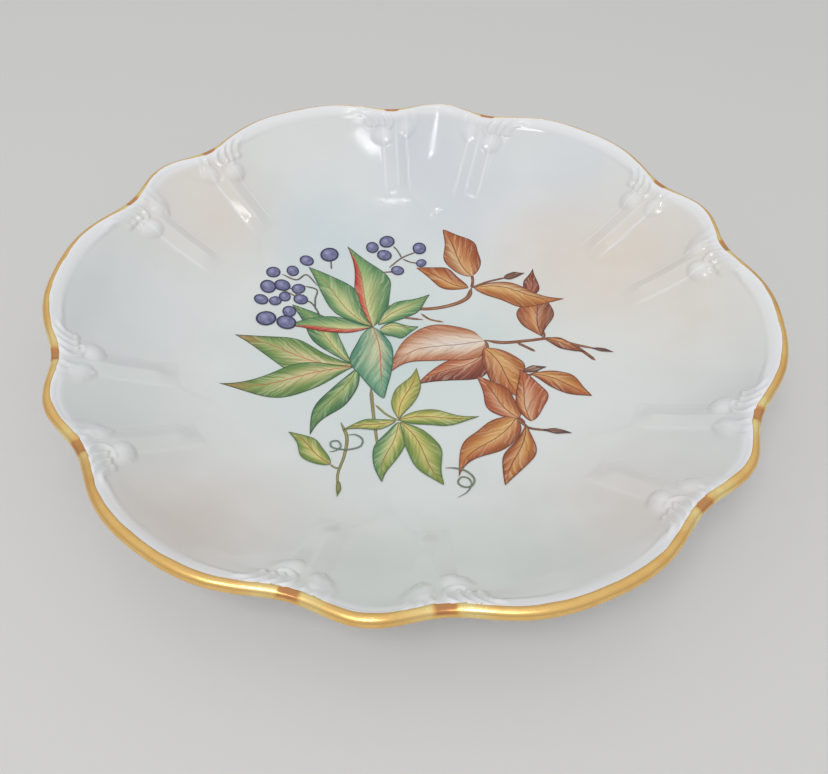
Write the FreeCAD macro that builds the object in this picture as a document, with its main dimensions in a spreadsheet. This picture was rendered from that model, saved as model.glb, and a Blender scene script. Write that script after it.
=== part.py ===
"""Lobed porcelain serving bowl with a gilded lip and a painted spray of leaves and berries.

Frame: origin at the centre of the foot ring's base plane, +Z up, +X through the middle of a
wide lobe.  Six wide lobes alternate with six narrow ones, and a notch parts each pair.
"""
import FreeCAD, Part
import Sketcher
import math
import os

from FreeCAD import Placement, Rotation, Vector

DIMENSIONS = [
    # alias, value in millimetres (or degrees, or a plain ratio), what it sets
    ("OverallWidth", 280.0, "across two opposite wide lobes, gilding included"),
    ("OverallHeight", 45.0, "table to the highest point of the gilded lip"),
    ("FloorHeight", 11.1, "table to the middle of the well"),
    ("FloorThickness", 5.0, "porcelain in the middle of the well"),
    ("LipThickness", 4.4, "porcelain at the rounded lip"),
    ("NotchInset", 6.8, "how far the lip at a notch lies inside a wide lobe's lip"),
    ("NarrowInset", 2.6, "how far the lip of a narrow lobe lies inside a wide lobe's lip"),
    ("NotchDip", 1.5, "how far the lip at a notch lies below a wide lobe's lip"),
    ("NarrowLobeHalfAngle", 10.0, "middle of a narrow lobe to its notch, degrees"),
    ("WideLobeFullness", 1.6, "exponent that keeps a wide lobe's lip full up to its notch"),
    ("WellPower", 3.2, "exponent of the well's section: flat floor, then a rising wall"),
    ("LobeRootRadius", 88.0, "where the lobes grow out of the round well"),
    ("LobeGrowth", 1.6, "exponent of how the wall takes on the lip's lobes"),
    ("RidgeHeight", 1.5, "folded ridge that runs down the wall from each notch"),
    ("RidgeCrest", 1.4, "notch to the ridge's crest, towards the narrow lobe"),
    ("RidgeWideFoot", 4.8, "notch to the ridge's foot on the wide lobe's side"),
    ("RidgeNarrowFoot", 6.2, "notch to the ridge's foot on the narrow lobe's side"),
    ("RidgeStart", 2.0, "lip to the ridge's upper end, in plan"),
    ("RidgeEnd", 38.0, "lip to the ridge's lower end, where it dies into the well, in plan"),
    ("WideBulbPlace", 4.7, "notch to the middle of the scroll's bulb on the wide lobe"),
    ("WideBulbDrop", 9.8, "lip to the middle of that bulb, in plan"),
    ("WideBulbWidth", 10.0, "width of that bulb"),
    ("WideBulbLength", 8.8, "length of that bulb down the wall"),
    ("WideBulbHeight", 1.7, "how far that bulb stands out of the wall"),
    ("NarrowBulbPlace", 6.3, "notch to the middle of the bulb on the narrow lobe"),
    ("NarrowBulbDrop", 6.4, "lip to the middle of that bulb, in plan"),
    ("NarrowBulbWidth", 8.0, "width of that bulb"),
    ("NarrowBulbLength", 8.4, "length of that bulb down the wall"),
    ("NarrowBulbHeight", 1.35, "how far that bulb stands out of the wall"),
    ("BeadDrop", 2.6, "lip to the moulded bead inside each wide lobe, in plan"),
    ("BeadWidth", 3.2, "width of that bead"),
    ("BeadHeight", 0.35, "height of that bead"),
    ("BeadStart", 15.0, "notch to the end of that bead"),
    ("GildingThickness", 0.1, "fired gold on the lip"),
    ("GildingInnerEdge", 102.0, "angle round the lip where the gold ends inside a lobe"),
    ("GildingOuterEdge", 6.0, "angle from the lip's underside where the gold begins"),
    ("FootRadius", 62.0, "outside of the foot ring where it stands"),
    ("FootStandWidth", 4.0, "flat ring that the bowl stands on"),
    ("FootRootWidth", 8.0, "foot ring where it joins the bowl"),
    ("FootEdgeRadius", 0.8, "rounding of the foot ring's two lower edges"),
    ("PaintThickness", 0.15, "fired enamel colours in the well"),
    ("BerryRadius", 3.1, "painted berry"),
    ("StemWidth", 1.5, "painted stem"),
    ("TendrilWidth", 0.8, "painted tendril and stalk"),
]
LOBES = 6
AZIMUTH_STEPS = 240
UNDERSIDE_RINGS = 14
LIP_RINGS = 7
GILDING_RINGS = 12
GILDING_MARGIN = 5.0
CAP_RADIUS = 20.0
SCROLL_REACH = 112.0
RIDGE_RISE = 10.0
RIDGE_FALL = 9.0
BEAD_FADE = 3.0

doc = FreeCAD.newDocument("ServingBowl")
sheet = doc.addObject("Spreadsheet::Sheet", "Dimensions")
for row, (alias, value, purpose) in enumerate(DIMENSIONS, start=1):
    sheet.set(f"A{row}", alias)
    sheet.set(f"B{row}", str(value))
    sheet.set(f"C{row}", purpose)
    sheet.setAlias(f"B{row}", alias)
doc.recompute()


def size(alias):
    """Value of one driving dimension."""
    return float(getattr(sheet, alias))


# --- sizes that follow from the driving dimensions ---------------------------------------
LIP_RADIUS = size("LipThickness") / 2
WIDE_LIP = size("OverallWidth") / 2 - LIP_RADIUS - size("GildingThickness")
NOTCH_LIP = WIDE_LIP - size("NotchInset")
NARROW_LIP = WIDE_LIP - size("NarrowInset")
LIP_HEIGHT = size("OverallHeight") - LIP_RADIUS - size("GildingThickness")
SECTOR = 360.0 / LOBES
NARROW_HALF = size("NarrowLobeHalfAngle")
WIDE_HALF = SECTOR / 2 - NARROW_HALF


def lip_slope(wall_top):
    """Slope of the wall where it runs into the lip, for a wall that ends at this radius."""
    rise = LIP_HEIGHT - size("NotchDip") - size("FloorHeight")
    return math.atan(size("WellPower") * rise / wall_top)


LIP_TILT = lip_slope(NOTCH_LIP)
WALL_TOP = NOTCH_LIP - LIP_RADIUS * math.sin(LIP_TILT)
WELL_DEPTH = LIP_HEIGHT - size("NotchDip") + LIP_RADIUS * math.cos(LIP_TILT) - size("FloorHeight")


# half way into the porcelain above the foot ring
SEAT_HEIGHT = (
    f"Dimensions.FloorHeight - Dimensions.FloorThickness / 2 + {WELL_DEPTH}"
    f" * pow(Dimensions.FootRadius / {WALL_TOP}; Dimensions.WellPower)")


# --- shape of the bowl -------------------------------------------------------------------
def from_wide_lobe(azimuth):
    """Angle from the middle of the nearest wide lobe, 0 to half a sector."""
    return abs((azimuth + SECTOR / 2) % SECTOR - SECTOR / 2)


def lip_radius_at(azimuth):
    """Radius of the lip's centre line: full wide lobes, rounder narrow ones."""
    turn = from_wide_lobe(azimuth)
    if turn <= WIDE_HALF:
        share = (turn / WIDE_HALF) ** size("WideLobeFullness")
        return WIDE_LIP - (WIDE_LIP - NOTCH_LIP) * math.sin(math.pi / 2 * share) ** 2
    share = (SECTOR / 2 - turn) / NARROW_HALF
    return NARROW_LIP - (NARROW_LIP - NOTCH_LIP) * math.sin(math.pi / 2 * share) ** 2


def lip_height_at(azimuth):
    """Height of the lip's centre line: it dips towards each notch."""
    return LIP_HEIGHT - size("NotchDip") * (WIDE_LIP - lip_radius_at(azimuth)) / size("NotchInset")


def well_height(radius):
    """Height of the round well's section at this radius."""
    return size("FloorHeight") + WELL_DEPTH * (radius / WALL_TOP) ** size("WellPower")


def well_tilt(radius):
    """Slope of that section."""
    power = size("WellPower")
    return math.atan(WELL_DEPTH * power / WALL_TOP * (radius / WALL_TOP) ** (power - 1))


def lobe_share(radius):
    """How much of the lip's lobed shape the wall has taken on at this radius."""
    root = size("LobeRootRadius")
    return max(0.0, (radius - root) / (WALL_TOP - root)) ** size("LobeGrowth")


def bump(distance):
    """Smooth round bump: 1 in the middle, 0 from a distance of 1 outwards."""
    return (1 - distance ** 2) ** 2 if abs(distance) < 1 else 0.0


def ramp(value):
    """0 below 0, 1 above 1, and an even S between them."""
    value = min(1.0, max(0.0, value))
    return value * value * (3 - 2 * value)


def ridge_relief(across, drop):
    """Folded ridge, this far across from the notch and this far below the lip."""
    crest = size("RidgeCrest") * (1 - drop / WALL_TOP)
    side = crest + size("RidgeWideFoot") if across < crest else size("RidgeNarrowFoot") - crest
    flank = max(0.0, 1 - abs(across - crest) / side)
    upper = ramp((drop - size("RidgeStart")) / RIDGE_RISE)
    lower = ramp((size("RidgeEnd") - drop) / RIDGE_FALL)
    return size("RidgeHeight") * flank * upper * lower


def bulb_relief(across, drop, side):
    """Hanging bulb of the scroll on one side of the notch."""
    wide = (across - size(side + "BulbPlace")) / (size(side + "BulbWidth") / 2)
    long = (drop - size(side + "BulbDrop")) / (size(side + "BulbLength") / 2)
    return size(side + "BulbHeight") * max(0.0, 1 - wide ** 2 - long ** 2)


def relief(radius, azimuth):
    """Height of the moulded relief over the plain wall."""
    across = math.radians(from_wide_lobe(azimuth) - WIDE_HALF) * radius
    drop = WALL_TOP - radius
    bead = size("BeadHeight") * bump((drop - size("BeadDrop")) / (size("BeadWidth") / 2))
    bead *= ramp((-across - size("BeadStart")) / BEAD_FADE)
    wide_bulb = bulb_relief(-across, drop, "Wide")
    narrow_bulb = bulb_relief(across, drop, "Narrow")
    return max(ridge_relief(across, drop), wide_bulb, narrow_bulb, bead)


def wall_point(radius, azimuth, depth):
    """Point of the wall at a nominal radius, this deep under its upper face."""
    share = lobe_share(radius)
    reach = radius + (lip_radius_at(azimuth) - NOTCH_LIP) * share
    rise = (lip_height_at(azimuth) - LIP_HEIGHT + size("NotchDip")) * share
    tilt = well_tilt(radius)
    reach += depth * math.sin(tilt)
    height = well_height(radius) + rise - depth * math.cos(tilt)
    turn = math.radians(azimuth)
    return Vector(reach * math.cos(turn), reach * math.sin(turn), height)


def lip_point(angle, azimuth, radius):
    """Point round the lip's section: 0 degrees is straight out, 90 is straight up."""
    turn = math.radians(azimuth)
    lean = math.radians(angle)
    reach = lip_radius_at(azimuth) + radius * math.cos(lean)
    height = lip_height_at(azimuth) + radius * math.sin(lean)
    return Vector(reach * math.cos(turn), reach * math.sin(turn), height)


def spread(start, end, count):
    """Evenly spaced values from start to end, both included."""
    return [start + (end - start) * step / (count - 1) for step in range(count)]


def arc_pole_factor(step):
    """Lifts a cubic spline's poles so that the curve itself keeps the arc's radius."""
    return 3 / (2 + math.cos(math.radians(step)))


def ring_surface(rings, closed):
    """Cubic spline surface over rings of poles, each ring running round the bowl's axis."""
    rounds = len(rings[0])
    turns = len(rings)
    if closed:
        knots = list(range(turns + 1))
        mults = [1] * (turns + 1)
    else:
        knots = list(range(turns - 2))
        mults = [4] + [1] * (turns - 4) + [4]
    surface = Part.BSplineSurface()
    surface.buildFromPolesMultsKnots(
        rings, mults, [1] * (rounds + 1), knots, list(range(rounds + 1)), closed, True, 3, 3)
    return surface


def solid_of(faces):
    """Closed solid from faces that share their edges, with its faces turned outwards."""
    shell = Part.makeShell(faces)
    if len(faces) > 1:
        shell.sewShape()
    solid = Part.makeSolid(shell)
    if solid.Volume < 0:
        solid.reverse()
    return solid


AZIMUTHS = [360.0 * step / AZIMUTH_STEPS for step in range(AZIMUTH_STEPS)]
# from the lip inwards: the radius that each stage of the wall's rings reaches, and its gaps
WALL_STAGES = [(SCROLL_REACH, 14), (size("LobeRootRadius"), 6), (CAP_RADIUS, 14)]
LIP_START = 90 + math.degrees(LIP_TILT)
LIP_END = LIP_START - 180


def wall_radii():
    """Radii of the rings from the lip inwards, closest together where the scrolls are."""
    radii = [WALL_TOP]
    for inner, gaps in WALL_STAGES:
        radii += spread(radii[-1], inner, gaps + 1)[1:]
    return radii


def make_bowl():
    """Porcelain shell: underside, rounded lip, relief and well as one spline surface."""
    lip_angles = spread(LIP_END, LIP_START, LIP_RINGS)
    lip_poles = LIP_RADIUS * arc_pole_factor(lip_angles[1] - lip_angles[0])
    radii_out = spread(CAP_RADIUS, WALL_TOP, UNDERSIDE_RINGS)
    rings = []
    for radius in radii_out:
        share = radius / WALL_TOP
        depth = size("FloorThickness") + (size("LipThickness") - size("FloorThickness")) * share
        rings.append([wall_point(radius, azimuth, depth) for azimuth in AZIMUTHS])
    for angle in lip_angles[1:-1]:
        rings.append([lip_point(angle, azimuth, lip_poles) for azimuth in AZIMUTHS])
    for radius in wall_radii():
        rings.append([wall_point(radius, azimuth, -relief(radius, azimuth)) for azimuth in AZIMUTHS])
    wall = ring_surface(rings, closed=False).toShape()
    rims = [edge for edge in wall.Edges if edge.isClosed() and not edge.isSeam(wall)]
    caps = [Part.Face(Part.Wire(edge)) for edge in rims]
    return solid_of([wall] + caps)


def gilding_inner_edge(azimuth):
    """Angle round the lip where the gold ends: it reaches further in at a notch."""
    notch = (WIDE_LIP - lip_radius_at(azimuth)) / size("NotchInset")
    lobe_edge = size("GildingInnerEdge")
    return lobe_edge + (LIP_START - GILDING_MARGIN - lobe_edge) * notch ** 4


def make_gilding():
    """Gold band over the outside and the crest of the lip."""
    start = LIP_END + size("GildingOuterEdge")
    step = (size("GildingInnerEdge") - start) / (GILDING_RINGS - 1)
    inner = LIP_RADIUS * arc_pole_factor(step)
    outer = (LIP_RADIUS + size("GildingThickness")) * arc_pole_factor(step)
    shares = spread(0.0, 1.0, GILDING_RINGS)
    rings = []
    for share, radius in [(s, outer) for s in shares] + [(s, inner) for s in shares[::-1]]:
        angles = [start + (gilding_inner_edge(azimuth) - start) * share for azimuth in AZIMUTHS]
        rings.append([
            lip_point(angle, azimuth, radius) for angle, azimuth in zip(angles, AZIMUTHS)])
    return solid_of([ring_surface(rings, closed=True).toShape()])


def add_shape(name, shape):
    """Document object that holds a shape made with Part's own functions."""
    feature = doc.addObject("Part::Feature", name)
    feature.Shape = shape
    feature.Placement = Placement()
    return feature


bowl = add_shape("bowl_body", make_bowl())
gilding = add_shape("gilt_rim", make_gilding())


# --- foot ring ---------------------------------------------------------------------------
def bind(sketch, constraint, expression):
    """Ties one constraint of a sketch to the dimensions."""
    sketch.setExpression(f"Constraints[{constraint}]", expression)


def make_foot_blank():
    """Turned ring with a sloping inside, tall enough to reach into the porcelain above it."""
    body = doc.addObject("PartDesign::Body", "FootBlank")
    sketch = body.newObject("Sketcher::SketchObject", "FootSection")
    plane = next(o for o in body.Origin.OriginFeatures if o.Role == "XZ_Plane")
    sketch.AttachmentSupport = [(plane, "")]
    sketch.MapMode = "FlatFace"
    radius = size("FootRadius")
    stand = size("FootStandWidth")
    root = size("FootRootWidth")
    seat = size("FloorHeight")
    corners = [(radius, 0), (radius, seat), (radius - root, seat), (radius - stand, 0)]
    for start, end in zip(corners, corners[1:] + corners[:1]):
        sketch.addGeometry(Part.LineSegment(Vector(*start, 0), Vector(*end, 0)), False)
    for line in range(4):
        sketch.addConstraint(Sketcher.Constraint("Coincident", line, 2, (line + 1) % 4, 1))
    sketch.addConstraint(Sketcher.Constraint("Vertical", 0))
    sketch.addConstraint(Sketcher.Constraint("Horizontal", 1))
    sketch.addConstraint(Sketcher.Constraint("Horizontal", 3))
    sketch.addConstraint(Sketcher.Constraint("PointOnObject", 0, 1, -1))
    bound = [
        (Sketcher.Constraint("DistanceX", -1, 1, 0, 1, radius), "Dimensions.FootRadius"),
        (Sketcher.Constraint("DistanceY", 0, 1, 0, 2, seat), SEAT_HEIGHT),
        (Sketcher.Constraint("DistanceX", 1, 2, 1, 1, root), "Dimensions.FootRootWidth"),
        (Sketcher.Constraint("DistanceX", 3, 1, 3, 2, stand), "Dimensions.FootStandWidth"),
    ]
    for constraint, expression in bound:
        bind(sketch, sketch.addConstraint(constraint), expression)
    ring = body.newObject("PartDesign::Revolution", "FootTurned")
    ring.Profile = sketch
    ring.ReferenceAxis = (sketch, ["V_Axis"])
    ring.Angle = 360
    doc.recompute()
    low = [f"Edge{n}" for n, edge in enumerate(ring.Shape.Edges, start=1)
           if edge.isClosed() and edge.BoundBox.ZMax < 0.01]
    rounding = body.newObject("PartDesign::Fillet", "FootEdges")
    rounding.Base = (ring, low)
    rounding.setExpression("Radius", "Dimensions.FootEdgeRadius")
    body.Tip = rounding
    return body


def make_cut(name, base, tool):
    """Boolean cut kept as a document object."""
    cut = doc.addObject("Part::Cut", name)
    cut.Base = base
    cut.Tool = tool
    return cut


foot = make_cut("foot_ring", make_foot_blank(), bowl)


# --- painted spray -----------------------------------------------------------------------
# A leaf is its base, its tip, how far its midrib bows to the left on the way to the tip, and
# its reach to the left and to the right of the midrib.
GREEN_LEAVES = [
    ((-17.5, 13.5), (-35, 59.5), 0, 3.5, 13),
    ((-17.5, 13.5), (-50, 44), 0, 6, 10),
    ((-19, 12), (-50, 8), 0, 2, 8.5),
    ((-30, 12), (-52, 20), 0, 4, 6),
    ((-17.5, 13.5), (4.5, 36), 0, 4.5, 7),
    ((-14, 11), (1.5, 16), 0, 2, 8),
    ((-17.5, 13.5), (-7.5, -25), 0, 6, 9.5),
    ((-23, -9), (-72, -2), 0, 9, 9.5),
    ((-24, -12), (-71.5, -30), 0, 11.5, 7),
    ((-23, -12), (-32, -48), 0, 6.5, 3.5),
    ((-1, -36), (2, -8), 0, 5, 4.7),
    ((-1, -36), (29.5, -31), 0, 3.5, 4.5),
    ((-1, -36), (-20.5, -43.5), 0, 2.7, 2.7),
    ((-1, -36), (-3, -67), 0, 5, 5),
    ((-1, -36), (18.5, -66), 0, 7, 5.5),
    ((-23, -62), (-40.5, -50), 0, 5.5, 4),
]
AUTUMN_LEAVES = [
    ((22, 49), (7, 74.5), 0, 5.3, 11.5),
    ((21, 41), (-2.5, 51), 0, 4, 7),
    ((23.5, 41.5), (60.5, 36), 0, 3, 10),
    ((42, 40), (49, 52), 0, 1, 6),
    ((53.5, 13), (50.5, 34), 0, 9, 6.5),
    ((28.5, 11.5), (-6.5, -10), -7, 9, 9),
    ((30, 5), (5, -15), 0, 8.5, 4),
    ((29.5, 6), (43.5, -18), 0, 8, 5.5),
    ((43, -30), (28.5, -10.5), 0, 4.5, 6.5),
    ((49, -32), (45.5, -5.5), 0, 2, 8),
    ((49, -7), (72, -18.5), 3, 5.5, 4),
    ((42, -32), (24, -61), 0, 4.5, 11),
    ((46, -35), (40.5, -64), 0, 8, 3.5),
]
BERRIES = [
    (-42, 53), (-51, 47), (-56, 40), (-64, 37), (-58.5, 31.5), (-65, 28), (-51.5, 31), (-50, 24),
    (-57, 25), (-60.5, 18.5), (-66.5, 20.5), (-53.5, 16.5), (-62, 10.5), (-54, 9.5),
    (-24, 61), (-17.5, 65), (-17.5, 57), (-3, 63), (0, 54.5), (-10.5, 49),
]
STEMS = [
    [(-22.5, -40), (-19.5, -47), (-19, -56), (-19.5, -66), (-18, -75.5)],
    [(-14, -20.5), (-12, -29.5), (-9.5, -42), (-7, -52)],
    [(-14, 27), (3, 27), (14, 30.5), (20.5, 35.5), (22.5, 49)],
    [(29.5, 11), (37.5, 10), (47.5, 12), (57, 13), (66, 9), (76.5, 5.5)],
    [(43, 10.5), (50.5, 6)],
    [(44, -32), (49, -36), (58.5, -37.5)],
    [(48, -4.5), (55, -3)],
]
TENDRILS = [
    [(-15, 50), (-10, 56.5), (-4, 61)],
    [(-10, 56.5), (-14.5, 64)],
    [(-41, 18), (-45.5, 24), (-44.5, 32), (-50, 32.5)],
    [(-44.5, 32), (-44.5, 36), (-50, 39.5), (-54, 35.5), (-60.5, 37)],
    [(-19.5, -63), (-23, -62)],
    [(-19.5, -47), (-15, -45.5), (-12.5, -49), (-15, -53), (-19, -54)],
    [(18.5, -58.5), (25, -59), (29, -63), (27.5, -67.5), (23.5, -67)],
]
PAINT_REACH = 82.0


def leaf_face(base, tip, bow, left, right):
    """Leaf-shaped face between two arcs that meet at the leaf's base and tip."""
    base = Vector(*base, 0)
    tip = Vector(*tip, 0)
    along = tip - base
    across = Vector(-along.y, along.x, 0).normalize()
    middle = base + along * 0.45
    one_side = Part.Arc(base, middle + across * (bow + left), tip)
    other_side = Part.Arc(tip, middle + across * (bow - right), base)
    return Part.Face(Part.Wire([one_side.toShape(), other_side.toShape()]))


def stroke_face(points, width):
    """Painted line along a few points, mitred where it turns and a little finer at its end."""
    points = [Vector(*point, 0) for point in points]
    runs = [(end - start).normalize() for start, end in zip(points, points[1:])]
    one_side = []
    other_side = []
    for number, point in enumerate(points):
        before = runs[max(0, number - 1)]
        after = runs[min(number, len(runs) - 1)]
        lean = (before + after).normalize()
        half = width / 2 / max(0.6, lean.dot(after))
        if number == len(points) - 1:
            half *= 0.5
        side = Vector(-lean.y, lean.x, 0) * half
        one_side.append(point + side)
        other_side.append(point - side)
    corners = one_side + other_side[::-1]
    return Part.Face(Part.makePolygon(corners + corners[:1]))


def make_paint_skin():
    """Thin layer over the round well, from which every painted patch is taken."""
    radii = spread(0.0, PAINT_REACH, 9)
    low = [Vector(radius, 0, well_height(radius)) for radius in radii]
    high = [point + Vector(0, 0, size("PaintThickness")) for point in low]
    edges = []
    for points in (low, high):
        curve = Part.BSplineCurve()
        curve.interpolate(points)
        edges.append(curve.toShape())
    edges.append(Part.makeLine(low[0], high[0]))
    edges.append(Part.makeLine(low[-1], high[-1]))
    section = Part.Face(Part.Wire(Part.__sortEdges__(edges)))
    return section.revolve(Vector(0, 0, 0), Vector(0, 0, 1), 360)


def add_paint(name, faces, layers_above):
    """Painted patches of one kind, cut back to what the layers above leave uncovered."""
    columns = [face.extrude(Vector(0, 0, size("OverallHeight"))) for face in faces]
    column = add_shape(f"{name}_column", columns[0].multiFuse(columns[1:]).removeSplitter())
    for layer in layers_above:
        column = make_cut(f"{name}_under_{layer.Label}", column, layer)
    paint = doc.addObject("Part::Common", name)
    paint.Base = skin
    paint.Tool = column
    return column, paint


skin = add_shape("PaintSkin", make_paint_skin())
berry_faces = [
    Part.Face(Part.Wire(Part.makeCircle(size("BerryRadius"), Vector(x, y, 0)))) for x, y in BERRIES]
layers = []
painted = []
for name, faces in (
        ("green_leaves", [leaf_face(*leaf) for leaf in GREEN_LEAVES]),
        ("autumn_leaves", [leaf_face(*leaf) for leaf in AUTUMN_LEAVES]),
        ("berries", berry_faces),
        ("stems", [stroke_face(line, size("StemWidth")) for line in STEMS]),
        ("tendrils", [stroke_face(line, size("TendrilWidth")) for line in TENDRILS])):
    column, paint = add_paint(name, faces, list(layers))
    layers.append(column)
    painted.append(paint)
doc.recompute()

# --- check and write ---------------------------------------------------------------------
for item in doc.Objects:
    if "Invalid" in item.State or "Error" in item.State:
        raise RuntimeError(f"{item.Label} failed: {item.State}")
os.makedirs("parts", exist_ok=True)
for node in [bowl, foot, gilding] + painted:
    shape = node.Shape
    if shape.isNull() or not shape.isValid() or not shape.Solids:
        raise RuntimeError(f"{node.Label} has no valid shape")
    shape.exportStep(f"parts/{node.Label}.step")
    print(f"{node.Label}: {len(shape.Solids)} solids, {shape.Volume:.0f} mm3")
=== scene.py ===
import bmesh
import bpy
import math
import numpy as np
from mathutils import Matrix, Vector


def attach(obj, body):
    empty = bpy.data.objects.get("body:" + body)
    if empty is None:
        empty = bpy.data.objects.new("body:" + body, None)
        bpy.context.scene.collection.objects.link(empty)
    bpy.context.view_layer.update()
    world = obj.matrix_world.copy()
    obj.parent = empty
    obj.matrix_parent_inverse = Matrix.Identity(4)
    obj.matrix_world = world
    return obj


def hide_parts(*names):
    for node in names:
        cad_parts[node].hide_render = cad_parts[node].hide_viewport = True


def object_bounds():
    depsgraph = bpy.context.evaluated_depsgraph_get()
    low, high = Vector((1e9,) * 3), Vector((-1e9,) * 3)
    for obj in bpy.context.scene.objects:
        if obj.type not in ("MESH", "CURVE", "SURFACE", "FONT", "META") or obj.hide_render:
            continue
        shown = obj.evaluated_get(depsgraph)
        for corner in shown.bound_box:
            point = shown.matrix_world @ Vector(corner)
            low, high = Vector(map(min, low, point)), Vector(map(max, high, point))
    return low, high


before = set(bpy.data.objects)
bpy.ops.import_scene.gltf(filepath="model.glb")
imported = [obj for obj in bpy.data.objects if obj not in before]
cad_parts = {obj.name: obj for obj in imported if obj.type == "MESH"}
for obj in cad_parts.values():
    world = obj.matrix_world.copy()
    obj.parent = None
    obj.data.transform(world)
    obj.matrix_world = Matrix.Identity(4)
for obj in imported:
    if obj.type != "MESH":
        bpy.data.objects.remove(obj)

cad_box = [list(corner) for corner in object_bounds()]

# --- Bowl --------------------------------------------------------------------------------
# Porcelain cast in a plaster mould: a flat round well and a wall that rises into six wide and
# six narrow lobes.  A folded ridge runs down the wall from each notch between two lobes, and
# moulded scrolls with hanging bulbs stand either side of the notch.  Lengths are millimetres.
MM = 0.001
LOBES = 6
SECTOR = 360 / LOBES
NARROW_HALF = 10.0
WIDE_HALF = SECTOR / 2 - NARROW_HALF
LIP_RADIUS = 2.2
GILDING = 0.1
NOTCH_INSET = 6.8
NARROW_INSET = 2.6
NOTCH_DIP = 1.5
WIDE_LIP = cad_box[1][0] / MM - LIP_RADIUS - GILDING
NOTCH_LIP = WIDE_LIP - NOTCH_INSET
NARROW_LIP = WIDE_LIP - NARROW_INSET
LIP_HEIGHT = cad_box[1][2] / MM - LIP_RADIUS - GILDING
FLOOR_HEIGHT = 11.1
FLOOR_THICKNESS = 5.0
WIDE_LOBE_FULLNESS = 1.6
WELL_POWER = 3.2
LOBE_ROOT = 88.0
LOBE_GROWTH = 1.6
LIP_TILT = math.atan(WELL_POWER * (LIP_HEIGHT - NOTCH_DIP - FLOOR_HEIGHT) / NOTCH_LIP)
WALL_TOP = NOTCH_LIP - LIP_RADIUS * math.sin(LIP_TILT)
WELL_DEPTH = LIP_HEIGHT - NOTCH_DIP + LIP_RADIUS * math.cos(LIP_TILT) - FLOOR_HEIGHT


def from_wide_lobe(azimuth):
    """Angle from the middle of the nearest wide lobe, in degrees."""
    return np.abs((azimuth + SECTOR / 2) % SECTOR - SECTOR / 2)


def lip_radius_at(azimuth):
    """Radius of the lip's centre line: full wide lobes and rounder narrow ones."""
    turn = from_wide_lobe(azimuth)
    wide = np.clip(turn / WIDE_HALF, 0, 1) ** WIDE_LOBE_FULLNESS
    narrow = np.clip((SECTOR / 2 - turn) / NARROW_HALF, 0, 1)
    wide_lip = WIDE_LIP - NOTCH_INSET * np.sin(math.pi / 2 * wide) ** 2
    narrow_lip = NARROW_LIP - (NARROW_LIP - NOTCH_LIP) * np.sin(math.pi / 2 * narrow) ** 2
    return np.where(turn <= WIDE_HALF, wide_lip, narrow_lip)


def lip_height_at(azimuth):
    """Height of the lip's centre line, which dips towards each notch."""
    return LIP_HEIGHT - NOTCH_DIP * (WIDE_LIP - lip_radius_at(azimuth)) / NOTCH_INSET


def well_height(radius):
    """Height of the plain well at this distance from the axis."""
    return FLOOR_HEIGHT + WELL_DEPTH * (np.maximum(radius, 0) / WALL_TOP) ** WELL_POWER


def well_tilt(radius):
    """Slope of the plain well."""
    share = (np.maximum(radius, 0) / WALL_TOP) ** (WELL_POWER - 1)
    return np.arctan(WELL_DEPTH * WELL_POWER / WALL_TOP * share)


def lobe_share(radius):
    """How much of the lobed lip's outline the wall has taken on at this radius."""
    return np.clip((radius - LOBE_ROOT) / (WALL_TOP - LOBE_ROOT), 0, None) ** LOBE_GROWTH


def bump(distance):
    """Smooth round bump: 1 in the middle, 0 from a distance of 1 outwards."""
    return np.clip(1 - distance ** 2, 0, None) ** 2


def smooth_step(value):
    """0 below 0, 1 above 1, and an even S between them."""
    value = np.clip(value, 0, 1)
    return value * value * (3 - 2 * value)


# Each flute is a cord of clay that leans down from the lip into its bulb.  Its points are how
# far they lie from the notch, towards the narrow lobe, and how far below the top of the wall.
WIDE_FLUTES = [
    [(-19, 2.2), (-16, 1.6), (-13.4, 2.2), (-11.6, 3.8), (-10.8, 5.6)],
    [(-15, -0.8), (-12, 0), (-9.6, 1.6), (-8.2, 3.4), (-7.6, 5.2)],
    [(-10.6, -1.2), (-7.8, -0.2), (-5.8, 1.4), (-4.8, 3.2), (-4.6, 5)],
    [(-6, -0.6), (-3.2, 0.2), (-1.2, 1.6), (-0.4, 3.6), (-1.2, 5.6), (-3.4, 6.8), (-6.4, 7)],
]
NARROW_FLUTES = [
    [(3.2, 0.2), (3.9, 2.0), (4.6, 4.0)],
    [(6.6, -0.8), (7.2, 1.4), (6.9, 3.8)],
    [(12.6, -0.8), (11, 0.6), (10.7, 3.0), (10.3, 5.6), (8.9, 8), (6.4, 10)],
]
FLUTE_WIDTH = 1.2
FLUTE_START = 0.6
FLUTE_POINTS = 40
KNOB_RADIUS = 1.5
WIDE_FLUTE_HEIGHT = 1.1
NARROW_FLUTE_HEIGHT = 0.75
# A bulb's place past the notch, its drop, its half width and half length, and its height.
WIDE_BULB = (-4.7, 9.8, 5.0, 4.4, 1.7)
NARROW_BULB = (6.3, 6.4, 4.0, 4.2, 1.35)
# The bead follows the lip of a wide lobe and fades towards its middle; the crease follows the
# lip of a narrow one.
BEAD_DROP = 2.6
BEAD_WIDTH = 1.0
BEAD_HEIGHT = 0.35
BEAD_START = 15.0
BEAD_RISE = 3.0
BEAD_FAINT = 0.25
BEAD_FADE = (38.0, 20.0)
CREASE_DROP = 1.2
CREASE_WIDTH = 0.7
CREASE_DEPTH = 0.14
CREASE_START = 11.0
CREASE_RISE = 2.0
# The fold hangs from the notch, and its feet are the edges of the panels beside it.
FOLD_CREST = 1.4
FOLD_FEET = (-4.8, 6.2)
FOLD_HEIGHT = 1.5
FOLD_START = 2.0
FOLD_END = 38.0
FOLD_RISE = 10.0
FOLD_FALL = 9.0
FOLD_ROUND = 0.8
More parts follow.
